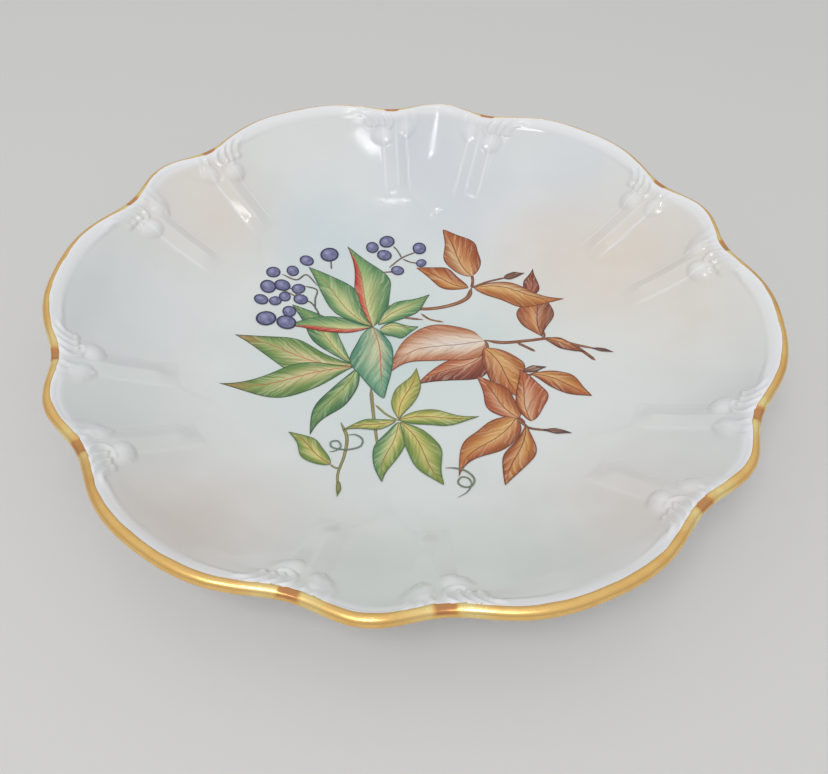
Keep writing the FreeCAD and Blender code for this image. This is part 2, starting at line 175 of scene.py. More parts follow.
# The narrow lobe's panel stands a little proud and comes to a point low on the wall.
PANEL_POINT = 50.0
PANEL_TOP = 4.0
PANEL_RISE = 12.0
TOE_HEIGHT = 0.16
TOE_WIDTH = 1.4
# The wide lobe's panel is a shallow dish, crisp near the scrolls and soft in the middle.
DISH_DEPTH = 0.3
DISH_SIDE = (5.0, 24.0)
DISH_TOP = 4.5
DISH_EDGE = 1.8
DISH_SOFTER = 0.3
DISH_SOFTER_FROM = 10.0
DISH_BOTTOM = 27.0
DISH_SAG = 9.0
DISH_SAG_SIDE = (9.0, 16.0)
DISH_FADE = 12.0


def smooth_line(points, count):
    """Evenly spread points on a smooth line through a few chosen ones (Catmull-Rom)."""
    points = np.array(points, float)
    ends = np.vstack([2 * points[0] - points[1], points, 2 * points[-1] - points[-2]])
    spots = np.linspace(0, len(points) - 1, count)
    number = np.minimum(spots.astype(int), len(points) - 2)
    t = (spots - number)[:, None]
    before, start, end, after = (ends[number + k] for k in range(4))
    return 0.5 * (2 * start + (end - before) * t
                  + (2 * before - 5 * start + 4 * end - after) * t ** 2
                  + (3 * start - before - 3 * end + after) * t ** 3)


def cord_relief(across, drop, line, width, height):
    """Relief of one cord of clay that thickens from its start to its end."""
    relief = np.zeros_like(across)
    reach = 2 * width
    near = (across > line[:, 0].min() - reach) & (across < line[:, 0].max() + reach)
    near &= (drop > line[:, 1].min() - reach) & (drop < line[:, 1].max() + reach)
    gap = np.hypot(across[near][:, None] - line[:, 0], drop[near][:, None] - line[:, 1])
    nearest = gap.argmin(axis=1)
    along = nearest / (len(line) - 1)
    fade = smooth_step(along * 4) * (FLUTE_START + (1 - FLUTE_START) * along)
    relief[near] = height * fade * bump(gap.min(axis=1) / width)
    return relief


def wall_place(radius, azimuth):
    """How far past the notch a point of the wall lies, and how far below the wall's top."""
    return np.radians(from_wide_lobe(azimuth) - WIDE_HALF) * radius, WALL_TOP - radius


def scroll_relief(across, drop):
    """Height of the flutes, each with a knob at its end, and of the bulbs below them."""
    parts = []
    sides = [(WIDE_FLUTES, WIDE_FLUTE_HEIGHT), (NARROW_FLUTES, NARROW_FLUTE_HEIGHT)]
    for flutes, height in sides:
        for flute in flutes:
            line = smooth_line(flute, FLUTE_POINTS)
            parts.append(cord_relief(across, drop, line, FLUTE_WIDTH, height))
            gap = np.hypot(across - line[-1, 0], drop - line[-1, 1])
            parts.append(height * bump(gap / KNOB_RADIUS))
    for middle, depth, half_width, half_length, height in (WIDE_BULB, NARROW_BULB):
        gap = np.hypot((across - middle) / half_width, (drop - depth) / half_length)
        parts.append(height * np.clip(1 - gap ** 2, 0, None))
    return sum(part ** 3 for part in parts) ** (1 / 3)


def fold_reach(drop):
    """Where the folded ridge stands up: 1 along its length, easing to 0 at both ends."""
    begun = smooth_step((drop - FOLD_START) / FOLD_RISE)
    return begun * smooth_step((FOLD_END - drop) / FOLD_FALL)


def fold_relief(across, drop, crest):
    """Height of the fold, which falls straight from its crest to its two feet."""
    half = np.where(across < crest, crest - FOLD_FEET[0], FOLD_FEET[1] - crest)
    from_crest = np.hypot(across - crest, FOLD_ROUND) - FOLD_ROUND
    return FOLD_HEIGHT * np.clip(1 - from_crest / half, 0, None) * fold_reach(drop)


def lip_lines(across, drop):
    """Height of the bead inside each wide lobe, less the crease inside each narrow one."""
    outward = -across
    bead = BEAD_HEIGHT * bump((drop - BEAD_DROP) / BEAD_WIDTH)
    bead *= smooth_step((outward - BEAD_START) / BEAD_RISE)
    bead *= BEAD_FAINT + (1 - BEAD_FAINT) * smooth_step((BEAD_FADE[0] - outward) / BEAD_FADE[1])
    crease = CREASE_DEPTH * bump((drop - CREASE_DROP) / CREASE_WIDTH)
    return bead - crease * smooth_step((across - CREASE_START) / CREASE_RISE)


def raised_panel(across, drop, radius):
    """Height of the pointed panel that fills a narrow lobe."""
    lobe_half = np.radians(NARROW_HALF) * radius
    towards_lobe = np.clip((across - FOLD_FEET[1]) / (lobe_half - FOLD_FEET[1]), 0, 1)
    toe = FOLD_END + (PANEL_POINT - FOLD_END) * towards_lobe
    proud = TOE_HEIGHT * smooth_step((toe - drop) / TOE_WIDTH)
    proud *= smooth_step((drop - PANEL_TOP) / PANEL_RISE)
    return proud * smooth_step((across - FOLD_FEET[0] + TOE_WIDTH) / TOE_WIDTH)


def sunk_panel(across, drop):
    """Depth of the dish that fills a wide lobe."""
    outward = -across
    bottom = DISH_BOTTOM + DISH_SAG * smooth_step((outward - DISH_SAG_SIDE[0]) / DISH_SAG_SIDE[1])
    edge = DISH_EDGE + DISH_SOFTER * np.clip(outward - DISH_SOFTER_FROM, 0, None)
    dish = DISH_DEPTH * smooth_step((outward - DISH_SIDE[0]) / DISH_SIDE[1])
    dish *= smooth_step((drop - DISH_TOP) / edge)
    return dish * smooth_step((bottom - drop) / DISH_FADE)


def wall_relief(radius, azimuth):
    """Height of the moulded relief over the plain lobed wall."""
    across, drop = wall_place(radius, azimuth)
    crest = FOLD_CREST * radius / WALL_TOP
    raised = scroll_relief(across, drop) + fold_relief(across, drop, crest)
    raised += raised_panel(across, drop, radius) + lip_lines(across, drop)
    return raised - sunk_panel(across, drop)


# Painted highlight: the fold's crest and feet and the scrolls are whitened, most on the far side.
HIGHLIGHT_WIDTH = 0.75
CREST_HIGHLIGHT = 0.5
FEET_HIGHLIGHT = 0.9
SCROLL_HIGHLIGHT = 0.3


def highlight_share(radius, azimuth):
    """Painted highlight: share of the wash turned white on the scrolls and the fold's lines."""
    across, drop = wall_place(radius, azimuth)
    crest = FOLD_CREST * radius / WALL_TOP
    lines = CREST_HIGHLIGHT * bump((across - crest) / HIGHLIGHT_WIDTH)
    for foot in FOLD_FEET:
        lines += FEET_HIGHLIGHT * bump((across - foot) / HIGHLIGHT_WIDTH)
    # The painted highlight is strongest on the far side and faint on the near side.
    far_side_stronger = 0.5 + 0.5 * np.sin(np.radians(azimuth))
    scrolls = SCROLL_HIGHLIGHT * scroll_relief(across, drop)
    return np.clip(lines * fold_reach(drop) * far_side_stronger + scrolls, 0, 1)


# The section is drawn once as stations 0 to 1 along the underside, 1 to 2 round the lip and
# 2 to 3 down the wall into the well; spinning it gives the skin that is then lobed and raised.
UNDERSIDE_STEPS = 20
LIP_STEPS = 14
RELIEF_STEPS = 46
WALL_STEPS = 44
WELL_STEPS = 20
COLUMNS = 640
RELIEF_BOTTOM = 112.0
PANEL_BOTTOM = 78.0
LIP_ARC = math.pi * LIP_RADIUS
FACET_MIDDLE = 96.0
FACET_HALF = 34.0
FACET_REACH = 1.5
FACET_BLEND = 0.5
LIP_START = 90 + math.degrees(LIP_TILT)
CROWD_LEAST = 0.55
CROWD_MOST = 1.6
CROWD_MIDDLE = WIDE_HALF - 0.5
CROWD_SPREAD = 4.2


def section_stations():
    """Stations along the bowl's section, closest together where the relief is finest."""
    relief_end = 2 + (WALL_TOP - RELIEF_BOTTOM) / WALL_TOP
    wall_end = 2 + (WALL_TOP - PANEL_BOTTOM) / WALL_TOP
    return np.concatenate([
        np.linspace(0, 1, UNDERSIDE_STEPS, endpoint=False),
        np.linspace(1, 2, LIP_STEPS, endpoint=False),
        np.linspace(2, relief_end, RELIEF_STEPS, endpoint=False),
        np.linspace(relief_end, wall_end, WALL_STEPS, endpoint=False),
        np.linspace(wall_end, 3, WELL_STEPS)])


def crowd_columns(azimuth):
    """Moves evenly spread azimuths towards the notches, where the relief is."""
    turns = np.linspace(0, SECTOR / 2, 400)
    density = CROWD_LEAST + CROWD_MOST * np.exp(-((turns - CROWD_MIDDLE) / CROWD_SPREAD) ** 2)
    reach = np.concatenate([[0], np.cumsum((density[1:] + density[:-1]) / 2)])
    reach *= SECTOR / 2 / reach[-1]
    signed = (azimuth + SECTOR / 2) % SECTOR - SECTOR / 2
    moved = np.sign(signed) * np.interp(np.abs(signed), reach, turns)
    return azimuth - signed + moved


def lip_trim(lean, azimuth):
    """Share of the lip's radius that is left where a flat facet is pressed in at each notch."""
    past_notch = np.abs(from_wide_lobe(azimuth) - WIDE_HALF)
    turned = np.clip(np.abs(lean - FACET_MIDDLE), 0, FACET_HALF)
    flat = math.cos(math.radians(FACET_HALF)) / np.cos(np.radians(turned))
    pressed = smooth_step((FACET_REACH - past_notch) / FACET_BLEND)
    return 1 - (1 - flat) * pressed


def bowl_points(station, azimuth, cover=0.0):
    """Points of the bowl's skin, or of a cover over it, at these stations and azimuths."""
    under = station < 1
    lip = (station >= 1) & (station < 2)
    radius = np.where(under, station, 3 - station) * WALL_TOP
    radius = np.clip(radius, 0, WALL_TOP)
    share = lobe_share(radius)
    reach = radius + (lip_radius_at(azimuth) - NOTCH_LIP) * share
    height = well_height(radius) + (lip_height_at(azimuth) - LIP_HEIGHT + NOTCH_DIP) * share
    tilt = well_tilt(radius)
    thick = FLOOR_THICKNESS + (2 * LIP_RADIUS - FLOOR_THICKNESS) * radius / WALL_TOP
    depth = np.where(under, thick + cover, -wall_relief(radius, azimuth) - cover)
    reach = reach + depth * np.sin(tilt)
    height = height - depth * np.cos(tilt)
    lean = LIP_START - 180 * (2 - station)
    lip_size = (LIP_RADIUS + cover) * lip_trim(lean, azimuth)
    reach = np.where(lip, lip_radius_at(azimuth) + lip_size * np.cos(np.radians(lean)), reach)
    height = np.where(lip, lip_height_at(azimuth) + lip_size * np.sin(np.radians(lean)), height)
    turn = np.radians(azimuth)
    return np.stack([reach * np.cos(turn), reach * np.sin(turn), height], axis=1)


def spin_section(name, stations, columns, closed):
    """Spins a section, whose vertices carry their stations, once round the bowl's axis."""
    # The section's own places only keep its vertices apart: settle moves every one of them.
    made = bmesh.new()
    layer = made.verts.layers.float.new("station")
    verts = []
    for number, station in enumerate(stations):
        vert = made.verts.new((0.05 + 0.0001 * number, 0, station * MM))
        vert[layer] = station
        verts.append(vert)
    loop = verts + verts[:1] if closed else verts
    edges = [made.edges.new(pair) for pair in zip(loop, loop[1:])]
    bmesh.ops.spin(made, geom=verts + edges, cent=(0, 0, 0), axis=(0, 0, 1), dvec=(0, 0, 0),
                   angle=math.tau, steps=columns, use_merge=True, use_duplicate=False)
    mesh = bpy.data.meshes.new(name)
    made.to_mesh(mesh)
    made.free()
    return mesh


def vertex_positions(mesh):
    """The mesh's vertices as an array of rows."""
    flat = np.empty(len(mesh.vertices) * 3)
    mesh.vertices.foreach_get("co", flat)
    return flat.reshape(-1, 3)


def vertex_stations(mesh):
    """The station that each vertex carries from its section."""
    values = np.empty(len(mesh.vertices))
    mesh.attributes["station"].data.foreach_get("value", values)
    return values


def settle(mesh, points):
    """Puts the vertices at these points, given in millimetres, and makes the mesh smooth."""
    mesh.vertices.foreach_set("co", (points * MM).ravel())
    made = bmesh.new()
    made.from_mesh(mesh)
    bmesh.ops.remove_doubles(made, verts=made.verts, dist=1e-7)
    bmesh.ops.dissolve_degenerate(made, edges=made.edges, dist=1e-8)
    bmesh.ops.recalc_face_normals(made, faces=made.faces)
    made.to_mesh(mesh)
    made.free()
    mesh.shade_smooth()
    mesh.update()


def add_piece(name, mesh, material, stands_for):
    """Adds a finished mesh as a piece of the bowl."""
    piece = bpy.data.objects.new(name, mesh)
    bpy.context.scene.collection.objects.link(piece)
    mesh.materials.append(material)
    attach(piece, "root")
    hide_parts(stands_for)


def store(mesh, name, values):
    """Keeps a number, a vector or a colour at every vertex."""
    kinds = {1: ("FLOAT", "value"), 3: ("FLOAT_VECTOR", "vector"), 4: ("FLOAT_COLOR", "color")}
    kind, field = kinds[1 if values.ndim == 1 else values.shape[1]]
    mesh.attributes.new(name, kind, "POINT").data.foreach_set(field, values.ravel())


def new_material(name):
    """Material with its tree and its Principled shader."""
    material = bpy.data.materials.new(name)
    material.use_nodes = True
    return material, material.node_tree, material.node_tree.nodes["Principled BSDF"]


def colour(red, green, blue):
    """Linear colour, with alpha, for an everyday 0 to 255 one."""
    values = np.array([red, green, blue]) / 255
    linear = np.where(values <= 0.04045, values / 12.92, ((values + 0.055) / 1.055) ** 2.4)
    return np.append(linear, 1.0)


def node(tree, kind, inputs=None, **settings):
    """Adds a node, sets it up, and feeds its inputs with sockets or plain values."""
    made = tree.nodes.new("ShaderNode" + kind)
    for key, value in settings.items():
        setattr(made, key, value)
    for key, value in (inputs or {}).items():
        if isinstance(value, bpy.types.NodeSocket):
            tree.links.new(value, made.inputs[key])
        else:
            made.inputs[key].default_value = value
    return made


def maths(tree, operation, first, second=0.0, third=0.0):
    """Result of one sum."""
    return node(tree, "Math", {0: first, 1: second, 2: third}, operation=operation).outputs[0]


def ease(tree, value, start, end, low=0.0, high=1.0):
    """Eases from low to high while the value runs from start to end."""
    inputs = {"Value": value, "From Min": start, "From Max": end, "To Min": low, "To Max": high}
    return node(tree, "MapRange", inputs, interpolation_type="SMOOTHSTEP").outputs[0]


def blend(tree, share, first, second):
    """Mixes two colours."""
    return node(tree, "Mix", {0: share, 6: first, 7: second}, data_type="RGBA").outputs[2]


def noise(tree, place, scale, detail=2.0):
    """Soft noise between 0 and 1."""
    inputs = {"Vector": place, "Scale": scale, "Detail": detail}
    return node(tree, "TexNoise", inputs).outputs[0]


def attribute(tree, name, output):
    """A value kept at the vertices."""
    return node(tree, "Attribute", attribute_name=name).outputs[output]


# Thin lustre washes tint the glaze in soft clouds: where each lies, how far it spreads, its
# tint over the white body and how strong it is.
BODY = (228, 229, 226)
# Plain white of the lip and underside, and the white of the painted highlights on the relief.
WHITE_AND_HIGHLIGHT = (243, 243, 244)
PALE_CLOUD = (236, 237, 235)
WASH_EDGE = 0.028
CLOUD_SCALE = 26
RIPPLE_SCALE = 160
RIPPLE_HEIGHT = 0.0001
WASHES = [
    ((0, 0), 62, (206, 221, 218), 0.9),
    ((-45, 62), 30, (208, 220, 224), 0.8),
    ((20, 88), 30, (210, 216, 226), 0.5),
    ((-8, 116), 26, (212, 217, 226), 0.6),
    ((62, 100), 26, (218, 224, 230), 0.6),
    ((84, 50), 34, (228, 216, 202), 0.9),
    ((52, 66), 22, (226, 214, 204), 0.7),
    ((112, 20), 26, (226, 218, 206), 0.7),
    ((-98, 58), 28, (228, 216, 204), 0.8),
    ((-118, -2), 34, (210, 214, 214), 0.7),
    ((-62, -104), 34, (220, 210, 202), 0.9),
    ((-100, -62), 26, (212, 218, 216), 0.6),
    ((10, -118), 34, (208, 214, 206), 0.8),
    ((78, -82), 34, (222, 212, 204), 0.7),
    ((120, -44), 28, (208, 212, 210), 0.6),
    ((44, -96), 24, (208, 216, 210), 0.6),
]


def wash_colours(points):
    """Colour of the washed glaze at each of these points."""
    tone = np.tile(colour(*BODY), (len(points), 1))
    for place, reach, tint, strength in WASHES:
        gap = np.hypot(points[:, 0] - place[0], points[:, 1] - place[1]) / reach
        share = strength * np.exp(-gap ** 2)
        tone += (colour(*tint) - tone) * share[:, None]
    return tone


def make_bowl_mesh():
    """The whole porcelain skin, closed at both poles."""
    mesh = spin_section("bowl", section_stations(), COLUMNS, closed=False)
    rows = vertex_positions(mesh)
    azimuth = crowd_columns(np.degrees(np.arctan2(rows[:, 1], rows[:, 0])))
    station = vertex_stations(mesh)
    points = bowl_points(station, azimuth)
    # Painted highlight: the wash gives way to plain white along the fold's lines and on the
    # scrolls.
    wiped = highlight_share((3 - station) * WALL_TOP, azimuth)
    # The wash stops just inside the gold: a whiter band, partly the unwashed lip, partly painted
    # highlight.
    washed = smooth_step((station - 2.0) / WASH_EDGE) * (1 - wiped)
    tone = colour(*WHITE_AND_HIGHLIGHT) + (wash_colours(points) - colour(*WHITE_AND_HIGHLIGHT)) * washed[:, None]
    store(mesh, "wash", tone)
    settle(mesh, points)
    return mesh


def make_porcelain():
    """White porcelain, cloudy lustre washes, painted highlights and a faintly rippled glaze."""
    material, tree, shader = new_material("porcelain")
    place = node(tree, "TexCoord").outputs["Object"]
    clouds = noise(tree, place, CLOUD_SCALE, 3.0)
    tone = attribute(tree, "wash", "Color")
    paler = blend(tree, 0.5, tone, colour(*PALE_CLOUD))
    washed = blend(tree, ease(tree, clouds, 0.4, 0.65, 0, 0.55), tone, paler)
    tree.links.new(washed, shader.inputs["Base Color"])
    satin = ease(tree, noise(tree, place, 90), 0.35, 0.7, 0.07, 0.13)
    tree.links.new(satin, shader.inputs["Roughness"])
    waves = noise(tree, place, RIPPLE_SCALE, 1.5)
    ripple = {"Strength": 0.25, "Distance": RIPPLE_HEIGHT, "Height": waves}
    tree.links.new(node(tree, "Bump", ripple).outputs[0], shader.inputs["Normal"])
    shader.inputs["IOR"].default_value = 1.55
    return material


add_piece("porcelain_bowl", make_bowl_mesh(), make_porcelain(), "bowl_body")

# --- Foot ring ---------------------------------------------------------------------------
# The ring the bowl stands on, turned from the same clay.  It is glazed like the bowl, but the
# narrow flat it stands on is wiped bare before firing and stays matt and slightly grey.
FOOT_RADIUS = 62.0
FOOT_STAND = 4.0
FOOT_ROOT = 8.0
FOOT_EDGE = 0.8
GLAZE_LINE = (0.0008, 0.0012)


def make_foot_mesh():
    """Spun section of the ring; its root is buried in the underside of the bowl."""
    root = well_height(FOOT_RADIUS) - FLOOR_THICKNESS / 2
    lean = (FOOT_ROOT - FOOT_STAND) / 2
    corners = [(FOOT_RADIUS, 0), (FOOT_RADIUS + lean, root),
               (FOOT_RADIUS + lean - FOOT_ROOT, root), (FOOT_RADIUS - FOOT_STAND, 0)]
    made = bmesh.new()
    verts = [made.verts.new((x * MM, 0, z * MM)) for x, z in corners]
    edges = [made.edges.new(pair) for pair in zip(verts, verts[1:] + verts[:1])]
    bmesh.ops.subdivide_edges(made, edges=edges, cuts=5)
    bmesh.ops.spin(made, geom=made.verts[:] + made.edges[:], cent=(0, 0, 0), axis=(0, 0, 1),
                   dvec=(0, 0, 0), angle=math.tau, steps=288, use_merge=True)
    lower = [edge for edge in made.edges if edge.is_manifold and edge.calc_face_angle() > 1
             and all(vert.co.z < MM for vert in edge.verts)]
    bmesh.ops.bevel(made, geom=lower, offset=FOOT_EDGE * MM, segments=5, profile=0.5,
                    affect="EDGES")
    bmesh.ops.recalc_face_normals(made, faces=made.faces)
    mesh = bpy.data.meshes.new("foot ring")
    made.to_mesh(mesh)
    made.free()
    mesh.shade_smooth()
    mesh.set_sharp_from_angle(angle=math.radians(40))
    return mesh


def make_foot_material():
    """Glaze that stops a little above the table, and bare fired clay below it."""
    material, tree, shader = new_material("foot ring")
    place = node(tree, "TexCoord").outputs["Object"]
    height = node(tree, "SeparateXYZ", {0: place}).outputs[2]
    wavy = maths(tree, "MULTIPLY_ADD", noise(tree, place, 120), 0.0009, height)
    glazed = ease(tree, wavy, *GLAZE_LINE)
    grain = noise(tree, place, 1800, 3.0)
    bare = blend(tree, grain, colour(196, 190, 180), colour(216, 211, 202))
    tree.links.new(blend(tree, glazed, bare, colour(*BODY)), shader.inputs["Base Color"])
    tree.links.new(ease(tree, glazed, 0, 1, 0.7, 0.1), shader.inputs["Roughness"])
    return material


add_piece("foot_ring_turned", make_foot_mesh(), make_foot_material(), "foot_ring")

# --- Painted leaves ----------------------------------------------------------------------
# Enamel colours brushed by hand on the glazed well and fired into it: thin coats a few
# hundredths of a millimetre thick, each leaf with its ribs, streaks and a fine drawn outline.
COAT = 0.06
LIFT = 0.03
ENAMEL_GLOSS = 0.22
LEAF_PALE = (255, 246, 214)
RIB_SPACING = 2.8
RIB_SLANT = 2.0


def paint_sheets(name, count, along, across):
    """Thin closed sheets: x runs along one, y across it, and z is its number (top + 0.5)."""
    made = bmesh.new()
    for number in range(count):
        bmesh.ops.create_grid(made, x_segments=along, y_segments=across, size=1,
                              matrix=Matrix.Translation((0, 0, number)))
    skins = bmesh.ops.extrude_face_region(made, geom=made.faces[:])
    top = [item for item in skins["geom"] if isinstance(item, bmesh.types.BMVert)]
    bmesh.ops.translate(made, verts=top, vec=(0, 0, 0.5))
    mesh = bpy.data.meshes.new(name)
    made.to_mesh(mesh)
    made.free()
    rows = vertex_positions(mesh)
    number = np.floor(rows[:, 2] + 0.01).astype(int)
    return mesh, (rows[:, 0] + 1) / 2, rows[:, 1], number, rows[:, 2] - number > 0.25


def lay_on_well(mesh, spots, lift):
    """Settles flat spots on the well's surface, raised by their lift, with crisp edges."""
    height = well_height(np.hypot(spots[:, 0], spots[:, 1])) + lift
    settle(mesh, np.column_stack([spots, height]))
    mesh.set_sharp_from_angle(angle=math.radians(40))


# Each set holds the tones at a leaf's edge, between, in its heart and at its tip, then the
# tone of its ribs and the one of its drawn outline.
TONES = {
    "fresh": [(88, 134, 88), (128, 168, 104), (224, 218, 152),
              (108, 146, 88), (156, 112, 72), (54, 90, 62)],
    "dark": [(70, 116, 74), (108, 150, 92), (186, 198, 128),
             (76, 116, 74), (92, 116, 66), (44, 76, 52)],
    "olive": [(98, 134, 72), (138, 164, 88), (226, 206, 156),
              (170, 112, 66), (186, 92, 62), (58, 88, 52)],
    "teal": [(82, 140, 112), (126, 174, 142), (218, 208, 166),
             (86, 138, 112), (190, 78, 56), (50, 90, 74)],
    "mint": [(92, 146, 116), (140, 184, 148), (214, 208, 166),
             (92, 146, 116), (190, 84, 60), (54, 94, 76)],
    "red": [(176, 50, 40), (204, 78, 58), (222, 130, 104),
            (190, 56, 44), (140, 36, 30), (120, 42, 36)],
    "lime": [(112, 142, 68), (160, 168, 84), (222, 210, 126),
             (126, 142, 66), (154, 92, 56), (84, 108, 54)],
    "straw": [(142, 152, 72), (182, 176, 88), (226, 212, 126),
              (156, 148, 72), (160, 90, 54), (104, 112, 58)],
    "rust": [(154, 80, 40), (190, 108, 56), (226, 174, 116),
             (170, 90, 46), (116, 54, 30), (110, 54, 30)],
    "tan": [(172, 104, 60), (206, 154, 104), (226, 194, 150),
            (160, 92, 52), (112, 64, 40), (112, 60, 36)],
    "cream": [(186, 112, 74), (222, 182, 150), (242, 230, 218),
              (170, 98, 62), (140, 104, 88), (122, 66, 44)],
    "brown": [(132, 66, 44), (160, 92, 62), (196, 134, 94),
              (138, 74, 48), (98, 48, 34), (92, 46, 34)],
    "amber": [(170, 96, 44), (202, 132, 66), (230, 184, 116),
              (184, 106, 50), (120, 62, 32), (116, 62, 34)],
    "wine": [(122, 56, 44), (150, 78, 56), (178, 106, 78),
             (124, 58, 44), (90, 44, 34), (88, 42, 34)],
    "flame": [(170, 86, 50), (194, 112, 72), (228, 184, 148),
              (172, 84, 48), (124, 58, 38), (116, 54, 36)],
    "bud": [(104, 70, 66), (130, 88, 74), (160, 112, 88),
            (96, 60, 60), (96, 54, 44), (84, 52, 46)],
}
# Base, tip, how far the rib bows and sways to the left, half widths left and right of it,
# where along it the leaf is widest, how slender its ends are, and the tones of its halves.
GREEN_LEAVES = [
    ((-22.5, -9), (-53, 21), -1.0, 1.0, 6.0, 6.5, 0.6, 0.8, "dark", "fresh"),
    ((-21, -9), (-72, -2), 1.5, 1.6, 9.5, 8.0, 0.52, 1.0, "olive", "olive"),
    ((-22, -10), (-71.5, -30), 1.0, -1.6, 9.5, 7.0, 0.5, 1.1, "olive", "olive"),
    ((-20.5, -10), (-33, -48.5), -1.5, 1.4, 6.0, 4.0, 0.48, 0.9, "dark", "dark"),
    ((-17.5, 13.5), (-35, 59.5), -1.5, 1.0, 3.8, 12.5, 0.46, 0.9, "red", "fresh"),
    ((-17.5, 13.5), (-50, 44), 1.0, 1.2, 6.0, 9.0, 0.55, 0.9, "fresh", "fresh"),
    ((-17.5, 13.5), (-53.5, 8.5), 0.5, 0.8, 2.8, 7.0, 0.52, 0.9, "red", "fresh"),
    ((-15.5, 15), (4.5, 36), 1.0, 0.8, 4.5, 6.0, 0.5, 0.9, "fresh", "fresh"),
    ((-14.5, 12.5), (1.5, 16), 1.0, 0.8, 2.0, 7.0, 0.42, 0.8, "fresh", "fresh"),
    ((-17.5, 13.5), (-8, -25.5), 1.0, 0.6, 5.5, 12.0, 0.48, 0.65, "teal", "mint"),
    ((-1, -36), (3, -7.5), 0.5, 1.0, 5.0, 5.0, 0.5, 1.0, "straw", "straw"),
    ((-1, -36), (29.5, -31), 0.5, 1.0, 3.8, 4.5, 0.42, 0.9, "straw", "lime"),
    ((-2, -36.5), (-21.5, -44), -0.5, 0.6, 2.7, 2.9, 0.45, 0.9, "straw", "lime"),
    ((-1, -37), (-3.5, -68), -1.0, 1.0, 5.2, 5.6, 0.48, 0.8, "lime", "fresh"),
    ((-0.5, -37), (18.5, -67), 1.0, 1.0, 7.0, 6.0, 0.52, 0.8, "lime", "lime"),
    ((-23, -62), (-41, -48.5), -0.5, 0.8, 5.0, 4.2, 0.45, 0.8, "lime", "lime"),
]
AUTUMN_LEAVES = [
    ((22, 48.5), (7, 75), 0.5, 0.8, 6.0, 10.5, 0.45, 0.7, "tan", "rust"),
    ((21, 41.5), (-3, 51.5), 0.5, 0.8, 4.5, 6.5, 0.5, 0.8, "amber", "rust"),
    ((53.2, 14), (50.5, 39), 1.0, 0.5, 9.5, 7.5, 0.6, 0.8, "rust", "brown"),
    ((45, 37), (48.5, 53.5), -2.0, -0.8, 4.5, 3.0, 0.35, 1.0, "wine", "wine"),
    ((23.2, 41.8), (62, 35.5), 1.5, 1.8, 3.4, 8.5, 0.45, 0.9, "tan", "amber"),
    ((31, 6.5), (4.5, -16), 1.5, 1.6, 8.5, 5.0, 0.42, 0.7, "wine", "flame"),
    ((29.5, 10.5), (-7.5, -11), -6.0, 1.8, 9.5, 12.5, 0.34, 0.6, "cream", "cream"),
    ((29.5, 6.5), (45, -20), 1.0, 0.8, 9.0, 7.5, 0.5, 0.7, "amber", "rust"),
    ((44.5, -31), (27.5, -9.5), 0.5, 0.8, 5.5, 6.5, 0.45, 0.7, "flame", "rust"),
    ((49, -32.5), (44.5, -4.5), 0.5, 0.6, 3.5, 9.0, 0.48, 0.7, "rust", "flame"),
    ((48.5, -7), (72, -19.5), 2.0, 0.6, 5.5, 5.0, 0.55, 0.8, "amber", "rust"),
    ((43.5, -31), (23.5, -62.5), -2.0, 1.8, 6.5, 8.0, 0.33, 1.0, "rust", "amber"),
    ((47.2, -34), (40, -66), 0.5, 0.8, 6.5, 4.4, 0.56, 0.9, "amber", "rust"),
    ((54.5, 12.8), (70, 4.8), 0.5, 0.4, 2.4, 2.6, 0.42, 0.9, "rust", "brown"),
    ((36, 48), (45, 50.8), 0.3, 0.0, 1.8, 1.8, 0.4, 0.8, "bud", "bud"),
    ((45.5, -5.6), (55, -3), 0.3, 0.0, 1.7, 1.7, 0.45, 0.8, "bud", "bud"),
    ((53.5, -37), (64, -39), 0.2, 0.0, 1.3, 1.3, 0.5, 0.8, "bud", "bud"),
    ((73, 6.6), (81, 3.4), 0.2, 0.0, 0.9, 0.9, 0.5, 0.8, "bud", "bud"),
    ((-18.8, -70), (-18, -78), 0.3, 0.0, 0.9, 0.9, 0.4, 0.8, "lime", "lime"),
]


def make_leaves(name, leaves, layer):
    """Leaves as thin coats, with what their colours need to know kept at each vertex."""
    mesh, along, across, number, top = paint_sheets(name, len(leaves), 36, 12)
    base, tip = (np.array([leaf[k] for leaf in leaves], float)[number] for k in (0, 1))
    bow, sway, left, right, widest, slender = np.array([leaf[2:8] for leaf in leaves])[number].T
    run = tip - base
    length = np.hypot(run[:, 0], run[:, 1])
    side = np.column_stack([-run[:, 1], run[:, 0]]) / length[:, None]
    swell = np.sin(math.pi * along ** (math.log(0.5) / np.log(widest))) ** slender
    swell *= 1 - 0.45 * smooth_step((along - 0.45) / 0.55)
    wave = 1 + 0.06 * np.sin(along * 12 + number * 1.7 + 2 * (across > 0))
    half = np.where(across > 0, left, right) * np.clip(swell, 0, None) * wave
    rib = 4 * bow * along * (1 - along) + sway * np.sin(math.tau * along)
    spots = base + run * along[:, None] + side * (rib + half * across)[:, None]
    own_pattern = number * 7.3 + 20 * layer
    store(mesh, "place", np.column_stack([along * length, half * across, own_pattern]))
    store(mesh, "margin", half * (1 - np.abs(across)))
    store(mesh, "along", along)
    rows = np.array([[[colour(*tone) for tone in TONES[kind]] for kind in (leaf[9], leaf[8])]
                     for leaf in leaves])
    on_left = (across > 0).astype(int)
    edge, between, heart, point, ribs, outline = rows[number, on_left].transpose(1, 0, 2)
    outward = smooth_step((np.abs(across) - 0.25) / 0.7)[:, None]
    inner = (1 - smooth_step(np.abs(across) / 0.7)) * (1 - smooth_step((along - 0.3) / 0.55))
    tone = between + (edge - between) * outward
    tone += (heart - tone) * 0.9 * inner[:, None]
    tone += (point - tone) * 0.8 * smooth_step((along - 0.72) / 0.25)[:, None]
    store(mesh, "tone", tone)
    store(mesh, "ribs", ribs)
    store(mesh, "outline", outline)
    lift = LIFT + 0.25 * COAT * number + layer * COAT + np.where(top, 0, -COAT)
    lay_on_well(mesh, spots, lift)
    return mesh


